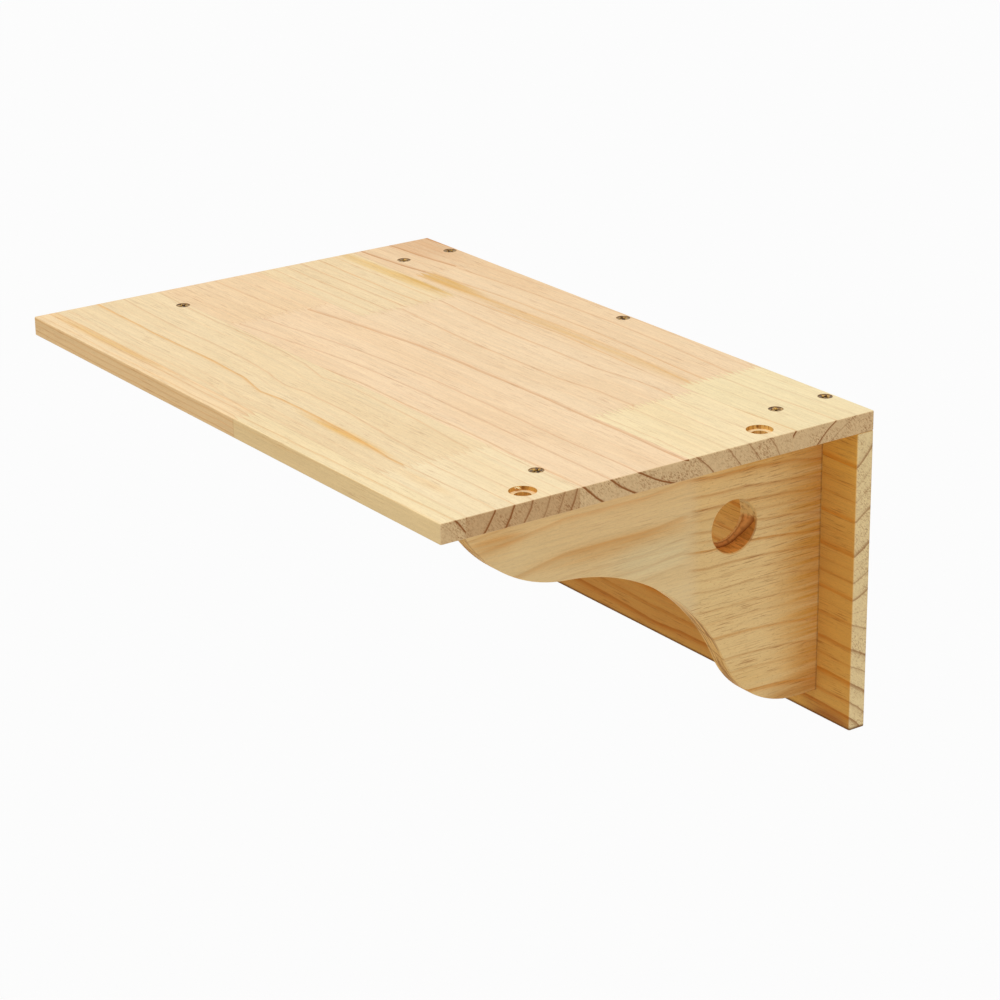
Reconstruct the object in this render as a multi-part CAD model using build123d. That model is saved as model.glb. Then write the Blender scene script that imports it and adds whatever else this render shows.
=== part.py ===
"""Wall shelf for a cat: a pine top board on a back board and two S-curved brackets, held by screws.

Millimetres, +Z up. The wall is the plane y = 0 and the shelf stands out along -Y. The origin is the
middle of the back board's wall face, which is also the middle of its four wall-fixing holes.
"""
import os

from build123d import *

# Overall sizes
shelf_width = 380.0
shelf_depth = 250.0
shelf_height = 165.0

# Boards
top_thickness = 10.0
back_thickness = 10.0
bracket_thickness = 10.0
edge_ease = 0.6
corner_ease = 1.0

# Brackets: how far each one's middle stands in from the shelf's end, how far its nose stays behind
# the front edge and how far its foot stays above the back board's lower edge
bracket_inset = 30.0
bracket_setback = 23.5
foot_gap = 13.3

# The bracket's S curve is three tangent arcs: nose, sweep and foot. Each share pair says where an
# arc ends, as shares of the bracket's reach from the back board and of its drop from the top board.
nose_end_shares = (0.708, 0.322)
sweep_end_shares = (0.275, 0.784)
foot_end_shares = (0.056, 1.0)
nose_end_slope = -4.0

# The round hole in each bracket
bracket_hole_diameter = 27.0
bracket_hole_from_back = 54.4
bracket_hole_from_top = 42.0

# Countersunk wood screws
screw_length = 30.0
screw_head_diameter = 7.3
screw_head_rim = 0.25
screw_thread_diameter = 3.5
screw_core_diameter = 2.4
screw_shank_diameter = 2.9
screw_shank_length = 11.0
screw_thread_pitch = 1.4
screw_tip_length = 4.0
screw_point_diameter = 0.2
screw_clearance = 0.05
pilot_spare_depth = 1.0

# The cross recess in a screw's head
recess_span = 4.2
recess_floor_span = 1.5
recess_width = 0.9
recess_depth = 1.8

# Places of the screws
rear_screw_inset = 30.0
bracket_screw_from_back = 26.0
bracket_screw_from_nose = 49.5
back_screw_inset = 30.0

# Wall-fixing holes through the back board, countersunk on its front
wall_hole_diameter = 5.0
wall_countersink_diameter = 10.0
wall_hole_end_inset = 70.0
wall_hole_edge_inset = 35.0

# The two counterbored holes at the right end of the top board
fitting_hole_diameter = 8.0
fitting_counterbore_diameter = 13.0
fitting_counterbore_depth = 2.0
fitting_hole_end_inset = 12.0
fitting_hole_from_wall = 61.0
fitting_hole_spacing = 136.5

# How far a cutting solid runs past the face that it cuts
overrun = 1.0

# Planes and lines that follow from the sizes
back_height = shelf_height - top_thickness
underside_z = back_height / 2
top_z = underside_z + top_thickness
bottom_z = -back_height / 2
end_x = shelf_width / 2
front_y = -shelf_depth
back_front_y = -back_thickness
bracket_x = end_x - bracket_inset
nose_y = front_y + bracket_setback
foot_z = bottom_z + foot_gap
bracket_reach = back_front_y - nose_y
bracket_drop = underside_z - foot_z
rear_screw_x = end_x - rear_screw_inset
rear_screw_y = back_front_y / 2
bracket_screw_y = {
    "rear": back_front_y - bracket_screw_from_back,
    "front": nose_y + bracket_screw_from_nose,
}
back_screw_z = {
    "upper": underside_z - back_screw_inset,
    "lower": foot_z + back_screw_inset,
}
sides = {"left": -1, "right": 1}
on_its_base = (Align.CENTER, Align.CENTER, Align.MIN)


def board(width, depth, height, centre):
    """A planed board, its upright corners rounded and the edges of its top and underside eased."""
    plank = Pos(*centre) * Box(width, depth, height)
    plank = fillet(plank.edges().filter_by(Axis.Z), corner_ease)
    return fillet(plank.faces().filter_by(Axis.Z).edges(), edge_ease)


def round_hole(diameter, depth):
    """A cutting solid for a round hole that goes down from z = 0, open above."""
    return Pos(0, 0, -depth) * Cylinder(diameter / 2, depth + overrun, align=on_its_base)


def countersink(head_diameter, hole_diameter):
    """A right-angled cone from the head's diameter at z = 0 down to the hole's."""
    depth = (head_diameter - hole_diameter) / 2
    return Pos(0, 0, -depth) * Cone(hole_diameter / 2, head_diameter / 2, depth, align=on_its_base)


def screw_profile():
    """Half section of a screw that points down from z = 0: head, plain shank, thread ridges and tip."""
    core = screw_core_diameter / 2
    crest = screw_thread_diameter / 2
    shank = screw_shank_diameter / 2
    head = screw_head_diameter / 2
    tip_z = -screw_length + screw_tip_length
    points = [(0, 0), (head, 0), (head, -screw_head_rim), (shank, -screw_head_rim - head + shank)]
    points += [(shank, -screw_shank_length), (core, -screw_shank_length - shank + core)]
    ridges = int((screw_length - screw_shank_length - screw_tip_length) / screw_thread_pitch)
    for ridge in range(ridges):
        middle_z = tip_z + (ridges - ridge - 0.5) * screw_thread_pitch
        foot = (crest - core) / 2
        points += [(core, middle_z + foot), (crest, middle_z), (core, middle_z - foot)]
    points += [(core, tip_z), (screw_point_diameter / 2, -screw_length), (0, -screw_length)]
    return make_face(Plane.XZ * Polyline(*points, close=True))


def recess_wing():
    """One arm of the cross recess: a slot whose ends slope in towards its floor."""
    half_top = recess_span / 2
    half_floor = recess_floor_span / 2
    outline = Polyline(
        (-half_top, overrun), (half_top, overrun), (half_top, 0),
        (half_floor, -recess_depth), (-half_floor, -recess_depth), (-half_top, 0), close=True,
    )
    return extrude(make_face(Plane.XZ * outline), amount=recess_width / 2, both=True)


def screw():
    """A countersunk screw with a cross recess, its head's top at the origin, pointing down."""
    turned = revolve(screw_profile(), Axis.Z)
    return turned - recess_wing() - Rot(0, 0, 90) * recess_wing()


def screw_bore():
    """The hole that a screw sits in: countersink, and a bore the thread's width with its clearance."""
    bore_diameter = screw_thread_diameter + 2 * screw_clearance
    mouth_diameter = screw_head_diameter + 2 * screw_clearance
    rim = round_hole(mouth_diameter, screw_head_rim)
    cone = Pos(0, 0, -screw_head_rim) * countersink(mouth_diameter, bore_diameter)
    return rim + cone + round_hole(bore_diameter, screw_length + pilot_spare_depth)


def screw_places():
    """The name and the place of every screw."""
    downwards = {
        f"rear_screw_{name}": Pos(x, rear_screw_y, top_z)
        for name, x in (("left", -rear_screw_x), ("middle", 0), ("right", rear_screw_x))
    }
    for side, sign in sides.items():
        for name, y in bracket_screw_y.items():
            downwards[f"{side}_bracket_{name}_screw"] = Pos(sign * bracket_x, y, top_z)
    forwards = {
        f"{side}_bracket_{name}_back_screw": Pos(sign * bracket_x, 0, z) * Rot(-90, 0, 0)
        for side, sign in sides.items()
        for name, z in back_screw_z.items()
    }
    return downwards | forwards


def fitting_hole():
    """A through hole with a flat counterbore for a bolt's head or washer."""
    through = round_hole(fitting_hole_diameter, top_thickness + overrun)
    return through + round_hole(fitting_counterbore_diameter, fitting_counterbore_depth)


def wall_hole():
    """A through hole for a wall screw, countersunk at the face that it starts from."""
    through = round_hole(wall_hole_diameter, back_thickness + overrun)
    return through + countersink(wall_countersink_diameter, wall_hole_diameter)


def top_board(bores):
    """The standing board, over the back board and both brackets."""
    plank = board(shelf_width, shelf_depth, top_thickness, (0, front_y / 2, (underside_z + top_z) / 2))
    x = end_x - fitting_hole_end_inset
    for y in (-fitting_hole_from_wall, -fitting_hole_from_wall - fitting_hole_spacing):
        plank -= Pos(x, y, top_z) * fitting_hole()
    return plank - bores


def back_board(bores):
    """The board that lies on the wall, under the top board's rear edge."""
    plank = board(shelf_width, back_thickness, back_height, (0, back_front_y / 2, 0))
    hole_x = end_x - wall_hole_end_inset
    hole_z = back_height / 2 - wall_hole_edge_inset
    for x in (-hole_x, hole_x):
        for z in (-hole_z, hole_z):
            plank -= Pos(x, back_front_y, z) * Rot(90, 0, 0) * wall_hole()
    return plank - bores


def bracket_outline():
    """The bracket's side view as (y, z): straight on top and at the back, an S curve in front."""

    def place(shares):
        return (back_front_y - shares[0] * bracket_reach, underside_z - shares[1] * bracket_drop)

    slope = Vector(1, 0).rotate(Axis.Z, nose_end_slope)
    nose = TangentArc(place(nose_end_shares), (nose_y, underside_z), tangent=-slope)
    sweep = TangentArc(place(nose_end_shares), place(sweep_end_shares), tangent=slope)
    foot = TangentArc(place(sweep_end_shares), place(foot_end_shares), tangent=sweep % 1)
    straight = Polyline(
        place(foot_end_shares), (back_front_y, foot_z), (back_front_y, underside_z), (nose_y, underside_z)
    )
    return make_face(nose + sweep + foot + straight)


def bracket(sign, bores):
    """One bracket, its sawn curve and its round hole broken at the edges, its joint faces square."""
    blank = extrude(Plane.YZ * bracket_outline(), amount=bracket_thickness / 2, both=True)
    hole = Pos(0, back_front_y - bracket_hole_from_back, underside_z - bracket_hole_from_top)
    radius = bracket_hole_diameter / 2
    blank -= hole * Rot(0, 90, 0) * Cylinder(radius, bracket_thickness + 2 * overrun)
    sawn = [
        edge
        for edge in blank.faces().filter_by(Axis.X).edges()
        if edge.center().Z < underside_z - edge_ease and edge.center().Y < back_front_y - edge_ease
    ]
    return Pos(sign * bracket_x, 0, 0) * chamfer(sawn, edge_ease) - bores


def main():
    """Make every piece and write each one to its own file."""
    places = screw_places()
    bores = [place * screw_bore() for place in places.values()]
    pieces = {"top_board": top_board(bores), "back_board": back_board(bores)}
    for side, sign in sides.items():
        pieces[f"{side}_bracket"] = bracket(sign, bores)
    pieces.update({name: place * screw() for name, place in places.items()})

    os.makedirs("parts", exist_ok=True)
    for name, piece in pieces.items():
        piece.label = name
        export_step(piece, f"parts/{name}.step")


main()
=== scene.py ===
"""The looks of a pine wall shelf: its timber, its screws, the torn wood at two of its holes, and the stage.

Lengths in the settings are in metres, and the timber's patterns are in millimetres of the shelf's own frame.
"""
import math
from typing import NamedTuple

import bpy
import numpy as np
from mathutils import Matrix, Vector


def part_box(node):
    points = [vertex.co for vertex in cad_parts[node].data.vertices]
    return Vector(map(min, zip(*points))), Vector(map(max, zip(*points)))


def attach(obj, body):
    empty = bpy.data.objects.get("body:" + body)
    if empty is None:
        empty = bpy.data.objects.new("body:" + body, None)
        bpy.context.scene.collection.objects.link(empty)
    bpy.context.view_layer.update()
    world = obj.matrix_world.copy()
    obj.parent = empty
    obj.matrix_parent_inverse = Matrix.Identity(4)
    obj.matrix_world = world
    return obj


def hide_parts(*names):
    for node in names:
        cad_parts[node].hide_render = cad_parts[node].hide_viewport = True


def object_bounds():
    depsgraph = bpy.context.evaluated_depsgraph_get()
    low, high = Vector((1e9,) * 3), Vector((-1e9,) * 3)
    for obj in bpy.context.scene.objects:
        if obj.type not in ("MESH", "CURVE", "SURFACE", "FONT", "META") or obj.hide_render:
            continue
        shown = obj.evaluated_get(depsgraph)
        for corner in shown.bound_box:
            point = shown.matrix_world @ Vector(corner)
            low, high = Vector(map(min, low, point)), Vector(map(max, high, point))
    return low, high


bl_info = {
    "name": "Pine Wall Shelf",
    "version": (1, 0, 0),
    "blender": (4, 5, 0),
    "location": "3D View > Sidebar > Pine Shelf",
    "description": "Finishes a small pine wall shelf: timber, screws and a plain stage",
    "category": "Object",
}

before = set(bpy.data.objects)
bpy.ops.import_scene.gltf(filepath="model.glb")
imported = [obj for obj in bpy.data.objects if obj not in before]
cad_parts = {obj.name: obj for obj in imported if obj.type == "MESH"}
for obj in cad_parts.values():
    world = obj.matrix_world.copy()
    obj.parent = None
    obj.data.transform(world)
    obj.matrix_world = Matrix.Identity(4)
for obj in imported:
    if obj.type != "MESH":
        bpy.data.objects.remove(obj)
CAD_BOX = [list(corner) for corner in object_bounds()]
MM = 0.001
X, Y, Z = range(3)
BRACKET_NODES = ("left_bracket", "right_bracket")
SCREW_NODES = sorted(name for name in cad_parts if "screw" in name)


def box_mm(node):
    """The lowest and the highest corner of a CAD node, in millimetres."""
    low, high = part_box(node)
    return np.array(low) / MM, np.array(high) / MM


def srgb(red, green, blue):
    """A colour as it looks on the screen, 0 to 255, as the linear values that shaders take."""
    shown = np.array([red, green, blue]) / 255
    linear = np.where(shown <= 0.04045, shown / 12.92, ((shown + 0.055) / 1.055) ** 2.4)
    return tuple(float(value) for value in linear)


# Node trees


class Graph:
    """Adds nodes to one material or world and hands back their output sockets."""

    def __init__(self, owner):
        self.owner = owner
        owner.use_nodes = True
        self.nodes = owner.node_tree.nodes
        self.links = owner.node_tree.links
        self.nodes.clear()

    def feed(self, socket, value):
        """Link a socket, or set its own value."""
        if isinstance(value, bpy.types.NodeSocket):
            self.links.new(value, socket)
        elif socket.type == "RGBA":
            socket.default_value = (*value, 1.0)
        else:
            socket.default_value = value

    def add(self, kind, inputs=None, **settings):
        """A node with its settings, and with its inputs fed by name or by place."""
        node = self.nodes.new(kind)
        for name, value in settings.items():
            setattr(node, name, value)
        for key, value in (inputs or {}).items():
            self.feed(node.inputs[key], value)
        return node

    def math(self, operation, *values, clamp=False):
        """One arithmetic step."""
        inputs = dict(enumerate(values))
        return self.add("ShaderNodeMath", inputs, operation=operation, use_clamp=clamp).outputs[0]

    def chain(self, operation, values):
        """One operation carried along several values."""
        result = values[0]
        for value in values[1:]:
            result = self.math(operation, result, value)
        return result

    def total(self, *values):
        """The sum of several values."""
        return self.chain("ADD", values)

    def product(self, *values):
        """The product of several values."""
        return self.chain("MULTIPLY", values)

    def gap(self, value, at):
        """How far one value is from another."""
        return self.math("ABSOLUTE", self.math("SUBTRACT", value, at))

    def vector(self, x, y, z):
        """Three values as one vector."""
        return self.add("ShaderNodeCombineXYZ", {0: x, 1: y, 2: z}).outputs[0]

    def parts(self, vector):
        """The three values of a vector."""
        return self.add("ShaderNodeSeparateXYZ", {0: vector}).outputs

    def length(self, x, y):
        """How long a flat vector is."""
        flat = self.vector(x, y, 0.0)
        return self.add("ShaderNodeVectorMath", {0: flat}, operation="LENGTH").outputs["Value"]

    def place_mm(self):
        """The place in the shelf's own frame, in millimetres."""
        place = self.add("ShaderNodeTexCoord").outputs["Object"]
        return self.add("ShaderNodeVectorMath", {0: place, "Scale": 1 / MM}, operation="SCALE").outputs[0]

    def attribute(self, name):
        """A value that the mesh carries at its points."""
        return self.add("ShaderNodeAttribute", attribute_name=name).outputs["Fac"]

    def remap(self, value, low, high, to_low=0.0, to_high=1.0, smooth=False):
        """A range of values carried to another, held at its ends."""
        kind = "SMOOTHSTEP" if smooth else "LINEAR"
        inputs = {0: value, 1: low, 2: high, 3: to_low, 4: to_high}
        return self.add("ShaderNodeMapRange", inputs, interpolation_type=kind, clamp=True).outputs[0]

    def mix(self, share, first, second, blend="MIX"):
        """Two colours mixed."""
        inputs = {0: share, 6: first, 7: second}
        return self.add("ShaderNodeMix", inputs, data_type="RGBA", blend_type=blend).outputs[2]

    def noise(self, place, scale, detail=2.0, roughness=0.5):
        """Soft noise around one half."""
        inputs = {"Vector": place, "Scale": scale, "Detail": detail, "Roughness": roughness}
        return self.add("ShaderNodeTexNoise", inputs).outputs[0]

    def ramp(self, value, stops):
        """A colour ramp from (position, colour) pairs."""
        node = self.add("ShaderNodeValToRGB", {0: value})
        elements = node.color_ramp.elements
        while len(elements) < len(stops):
            elements.new(0.5)
        for element, (position, colour) in zip(elements, sorted(stops)):
            element.position = position
            element.color = (*colour, 1.0)
        return node.outputs[0]

    def bump(self, height, strength, distance):
        """A surface roughened by a height, which stands for a distance in millimetres."""
        inputs = {"Height": height, "Strength": strength, "Distance": distance * MM}
        return self.add("ShaderNodeBump", inputs).outputs[0]

    def in_view(self):
        """One for a ray from the camera, also by gloss or glass, and zero for the light's own bounces."""
        path = self.add("ShaderNodeLightPath").outputs
        seen = self.math("MAXIMUM", path["Is Camera Ray"], path["Is Glossy Ray"])
        return self.math("MAXIMUM", seen, path["Is Transmission Ray"])

    def finish(self, **inputs):
        """Close the tree with one shader."""
        shader = self.add("ShaderNodeBsdfPrincipled", inputs)
        self.add("ShaderNodeOutputMaterial", {0: shader.outputs[0]})
        return self.owner


# Timber

WOOD_GLOSS = 0.06

CREAM = srgb(252, 233, 187)
STRAW = srgb(250, 225, 181)
ROSE = srgb(250, 220, 179)
BLUSH = srgb(247, 215, 173)
AMBER = srgb(254, 223, 166)
DEEP_GOLD = srgb(226, 172, 86)
PALE_END = srgb(255, 228, 172)
TAN_END = srgb(238, 204, 154)
BROWN_END = srgb(221, 182, 133)

# Latewood that is lean and rich in resin
TOP_LINES = srgb(226, 178, 134), srgb(238, 182, 108)
BACK_LINES = srgb(194, 120, 44), srgb(224, 144, 40)
BRACKET_LINES = srgb(198, 134, 68), srgb(226, 154, 66)
SAWN_END = srgb(240, 192, 118)


class Line(NamedTuple):
    """A latewood line: where it meets the face, its strength, how orange it is, and how far it fades."""

    across: float
    strength: float
    warmth: float = 0.0
    fade: float = 2.2


class Patch(NamedTuple):
    """A soft patch in the timber, some of them stains and some painted shade and light: its middle, its half
    sizes, its strength and its colour.
    """

    along: float
    across: float
    half_length: float
    half_width: float
    strength: float
    colour: tuple


class Block(NamedTuple):
    """A length of timber between two joints: its tint, its end grain, its pith, its lines, its stains and
    patches of painted shade and light, and how many of its resin canals show."""

    tint: tuple
    end: tuple
    pith: tuple
    lines: tuple
    stains_and_shade: tuple = ()
    canals: float = 1.0


class Stave(NamedTuple):
    """A strip of a glued board: its edges, its finger joints, how its lines sway, and its blocks."""

    low: float
    high: float
    joints: tuple
    sway: tuple
    blocks: tuple


class Mark(NamedTuple):
    """A dark mark on a drilled wall: its depth below the face, its place across, and its half sizes."""

    depth: float
    across: float
    half_depth: float
    half_across: float


class Bores(NamedTuple):
    """Like holes drilled through a board: their middles, their radius, their wall's colours above and below,
    its dark marks, and its colour at the very bottom."""

    places: tuple
    radius: float
    upper: tuple
    lower: tuple
    marks: tuple = ()
    bottom: tuple = None


TOP_STAVES = (
    Stave(-250, -236.6, (15,), ((-190, 0), (0, 0), (16, -1), (190, 2)), (
        Block(srgb(254, 225, 180), BROWN_END, (-282, 40), (
            Line(-237.5, 0.5, 0.5), Line(-241, 0.6, 0.4), Line(-247, 0.4, 0.8), Line(-252, 0.6, 0.6),
            Line(-257, 0.5, 0.3), Line(-263, 0.7, 0.5),
        ), (Patch(-130, -239.5, 80, 4.5, 0.8, srgb(238, 194, 124)),)),
        Block(srgb(255, 233, 187), TAN_END, (-282, 52), (Line(-244.4, 0.55, 0.7), Line(-251, 0.2, 1.0))),
    )),
    Stave(-236.6, -174.7, (120,), (
        (-190, 2), (-127, 0), (-65, 1), (-35, -0.5), (-12, -5), (4, -2.5), (40, -2.5), (70, -4), (105, -7),
        (190, -7),
    ), (
        Block(STRAW, BROWN_END, (-270, 118), (
            Line(-177.5, 0.5, 0.3), Line(-186, 0.15), Line(-199, 0.55, 0.2), Line(-206, 0.15),
            Line(-213.5, 1.0, 0.9, 3.5), Line(-226, 0.2, 0.2), Line(-232, 0.25, 0.2),
        ), (
            Patch(66, -219.5, 46, 4.4, 0.9, srgb(244, 194, 112)), Patch(-60, -207, 40, 5, 0.25, CREAM),
        )),
        Block(srgb(255, 233, 190), BROWN_END, (-270, 118), (
            Line(-168.8, 0.4), Line(-175.6, 0.3), Line(-183.9, 0.3), Line(-193.3, 0.4),
            Line(-202.7, 0.5, 0.3), Line(-213.3, 0.5, 0.3), Line(-229, 0.3, 0.4),
        ), (Patch(140, -226, 30, 5, 0.35, srgb(240, 194, 132)),)),
    )),
    Stave(-174.7, -112.6, (-115,), (
        (-190, -1), (-116, 1), (-114, -13.5), (-80, -8.5), (-50, -4.5), (-20, -1.2), (0, 0), (40, 0.5),
        (190, 0),
    ), (
        Block(srgb(250, 219, 176), TAN_END, (-86, 180), (
            Line(-116, 0.25), Line(-128, 0.3), Line(-140, 0.6, 0.2), Line(-153, 0.25), Line(-166, 0.25),
        )),
        Block(srgb(253, 223, 183), TAN_END, (-86, 180), (
            Line(-115.5, 1.0, 0.1, 3.5), Line(-129, 0.15), Line(-142.3, 0.7, 0.0, 2.6), Line(-150, 0.1),
            Line(-157.8, 0.65, 0.0, 2.6), Line(-166, 0.12), Line(-173.4, 0.7, 0.4),
        )),
    )),
    Stave(-112.6, -50.8, (-86, 116), (
        (-190, 0), (-87, 0), (-84, 2.5), (-40, 0.5), (0, -1), (60, 0), (87, 3.5), (115, 4), (118, 0),
        (190, 0),
    ), (
        Block(STRAW, TAN_END, (-158, 26), (
            Line(-56, 0.3, 0.8), Line(-63.5, 0.5, 0.6), Line(-73.7, 0.8, 0.4), Line(-79, 0.2),
            Line(-85, 0.75, 0.2), Line(-94.5, 0.65, 0.2), Line(-103, 0.55, 0.2), Line(-110, 0.3, 0.2),
        ), (
            Patch(-150, -56.5, 75, 5.5, 0.85, srgb(240, 200, 124)),
            Patch(-115, -53, 40, 2.6, 0.8, srgb(226, 178, 96)),
        )),
        Block(srgb(251, 222, 182), TAN_END, (-158, 26), (
            Line(-54, 0.2), Line(-66, 0.75, 0.2, 2.8), Line(-78, 0.15), Line(-90.5, 0.65, 0.2, 2.8),
            Line(-102, 0.2),
        )),
        Block(srgb(255, 233, 187), TAN_END, (-158, 26), (
            Line(-64.8, 0.3), Line(-76.8, 0.32), Line(-89.6, 0.32), Line(-99, 0.12), Line(-108, 0.42),
        )),
    )),
    Stave(-50.8, 0, (-130, 105), (
        (-190, -13), (-150, -10), (-127, -6.5), (-77, -2.6), (0, 0), (50, -1.2), (104, -4.5), (106, -3),
        (190, 1),
    ), (
        Block(BLUSH, BROWN_END, (20, 22), (
            Line(11, 1.6, 0.2, 5.0), Line(-5, 0.4), Line(-13.5, 1.5, 0.1, 4.0), Line(-22, 0.3),
            Line(-33, 1.5, 0.1, 4.0),
        ), (Patch(-184, -12, 50, 22, 1.0, srgb(232, 190, 146)), Patch(-140, -40, 26, 9, 0.8, ROSE))),
        Block(ROSE, BROWN_END, (20, 22), (
            Line(-1.5, 0.4, 0.1), Line(-14.5, 0.7, 0.2, 2.8), Line(-23, 0.15), Line(-31.5, 0.7, 0.4, 2.8),
            Line(-40, 0.5, 0.9, 4.0), Line(-48, 0.7, 0.6),
        ), (
            Patch(-105, -10, 80, 15, 0.6, srgb(243, 206, 160)),
            Patch(-110, -41.5, 46, 7.0, 1.0, srgb(228, 180, 98)),
            Patch(-30, -43.5, 120, 4.5, 0.7, srgb(236, 192, 124)),
            Patch(70, -44, 60, 5.5, 0.5, srgb(236, 196, 134)),
        )),
        Block(CREAM, TAN_END, (20, 22), (
            Line(-5, 0.15), Line(-13, 0.3), Line(-24.8, 0.5, 0.2), Line(-37, 0.12), Line(-50.1, 0.7, 0.6),
        )),
    )),
)
FITTING_BORES = tuple(
    Bores(((178, -61), (178, -197.5)), radius, srgb(244, 200, 118), srgb(234, 180, 92), (
        Mark(0.9, -193.6, 1.4, 1.0), Mark(0.8, -57.7, 1.1, 0.8),
    ))
    for radius in (6.5, 4.0)
)
BACK_STAVES = (
    Stave(-77.5, -15, (), ((-190, 2), (-120, -1), (-40, 2), (30, -1), (110, 2), (190, 0)), (
        Block(DEEP_GOLD, PALE_END, (-114, -44), (
            Line(-21, 0.6, 0.2, 3.5), Line(-34, 1.0, 0.2, 4.5), Line(-43, 0.5, 0.1, 3.0),
            Line(-51.8, 1.2, 0.5, 6.0), Line(-62, 0.8, 0.1, 4.5), Line(-70, 1.3, 0.1, 6.0),
        ), (
            # Painted shade: the corner below the right bracket's foot, and the lower half of the face
            # darkened.
            Patch(176, -78, 24, 11, 0.9, srgb(160, 92, 40)),
            Patch(-10, -50, 185, 60, 0.75, srgb(206, 144, 72)),
        )),
    )),
    Stave(-15, 77.5, (), ((-190, -3), (-120, 1), (-40, -2), (30, 2), (110, -1), (160, 0.5), (190, 0)), (
        Block(DEEP_GOLD, PALE_END, (128, -70), (
            Line(-8.6, 0.9, 0.4, 4.5), Line(0.2, 0.7, 0.2, 3.0), Line(7, 0.3), Line(14.5, 1.0, 0.5, 6.0),
            Line(23, 0.25), Line(31.7, 0.9, 0.7, 4.5), Line(42.5, 0.45, 0.6), Line(50.4, 0.4, 0.4),
            Line(60, 1.0, 0.9, 6.0),
        ), (
            # Painted light: the upper part of the face is lightened where the top board's shade falls on it.
            # The patch behind the right bracket's hole is lighter.
            Patch(0, 66, 400, 26, 0.9, srgb(244, 192, 92)), Patch(0, 38, 400, 20, 0.6, srgb(238, 184, 92)),
            Patch(96, -9, 48, 21, 0.7, srgb(236, 190, 116)),
        )),
    )),
)
WALL_BROWN = srgb(198, 136, 68)
WALL_BORES = Bores(((-120, -42.5), (-120, 42.5), (120, -42.5), (120, 42.5)), 2.5, WALL_BROWN, WALL_BROWN)
BRACKET_STAVES = (
    Stave(-64.2, 77.5, (-90.5,), (
        (-226.5, -7), (-190, -3), (-165, 1), (-120, 0.5), (-97, 3), (-80, 1.4), (-55, 1), (-30, -0.8),
        (-10, -4),
    ), (
        Block(AMBER, SAWN_END, (-115, 50), (
            Line(20, 0.2), Line(26, 0.3, 0.3), Line(33, 0.2), Line(45, 0.4, 0.9, 6.0),
            Line(62.5, 0.35, 0.9, 5.0), Line(70, 0.3, 0.5),
        ), (
            Patch(-135, 43, 58, 7, 0.8, srgb(242, 192, 122)),
            Patch(-206, 60, 22, 12, 0.35, srgb(242, 192, 120)),
            Patch(-114, 31, 34, 11, 0.8, srgb(255, 237, 188)),
            Patch(-203, 60, 20, 4, 0.5, srgb(226, 160, 76)),
        ), 0.35),
        Block(srgb(255, 220, 156), SAWN_END, (-115, 50), (
            Line(-53.5, 1.0, 0.8, 4.0), Line(-41, 0.3, 0.4), Line(-33, 0.5, 0.3), Line(-21, 0.75, 0.8, 3.0),
            Line(-12, 0.25, 0.2), Line(-5, 0.4, 0.2), Line(5, 0.4, 0.2), Line(11, 0.25),
            Line(16.5, 0.7, 0.2), Line(25, 1.0, 0.7, 3.0), Line(30, 0.4, 0.5), Line(35, 0.6, 0.3, 2.8),
            Line(41, 0.4, 0.3), Line(46.8, 0.75, 0.3, 2.8), Line(53.5, 0.65, 0.3, 3.5),
            Line(62.5, 0.8, 0.6, 4.5), Line(70, 0.5, 0.8),
        ), (
            # Partly the timber's own amber and partly painted shade: the darker patches near the back board
            # and under the top board, where the corner is shaded.
            Patch(-40, 70, 50, 14, 0.8, srgb(232, 174, 80)), Patch(-4, 10, 42, 160, 0.9, srgb(220, 158, 58)),
            Patch(-45, 45, 60, 10, 0.4, srgb(236, 182, 102)),
            Patch(-14, -48, 16, 22, 0.2, srgb(200, 132, 50)),
            Patch(-20, -62, 34, 12, 0.8, srgb(206, 148, 76)),
            Patch(-58, -46, 26, 14, 0.4, srgb(236, 192, 118)),
        )),
    )),
)
RIGHT_BRACKET_BORES = (
    Bores(((-64.4, 35.5),), 13.5, srgb(230, 196, 130), srgb(212, 142, 66), (
        Mark(8.8, 40.6, 1.2, 3.0), Mark(4.8, 38.3, 1.2, 2.0),
    ), srgb(250, 182, 96)),
)
LEFT_BRACKET_BORES = (RIGHT_BRACKET_BORES[0]._replace(marks=()),)


# Rings

LINES_PER_RAMP = 10
FAR = 1000


def stave_section(stave, depth_range, pith):
    """The nearest and furthest distance from the pith within a stave's section."""
    steps = 24
    margin = 15
    across = np.linspace(stave.low - margin, stave.high + margin, steps)[:, None] - pith[0]
    depth = np.linspace(*depth_range, steps)[None, :] - pith[1]
    distance = np.hypot(across, depth)
    return distance.min(), distance.max()


def line_stops(lines, block, face, near, far):
    """Ramp stops across the rings: red darkens slowly away from the pith and ends sharply.

    Green holds the line's warmth, and blue its full strength.
    """
    least_slope = 0.4
    least_step = 0.002
    sharp_side = 0.7
    span = far - near
    stops = [(0.0, (0.0, 0.0, 0.0))]
    for line in lines:
        offset = abs(line.across - block.pith[0])
        distance = math.hypot(offset, face - block.pith[1])
        slope = max(offset / distance, least_slope)
        start = max((distance - line.fade * slope - near) / span, stops[-1][0] + least_step)
        peak = max((distance - near) / span, start + least_step)
        end = peak + sharp_side * slope / span
        if end >= 1:
            break
        light = (0.0, line.warmth, line.strength)
        dark = (line.strength, line.warmth, line.strength)
        stops += [(start, light), (peak, dark), (end, light)]
    return stops


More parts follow.
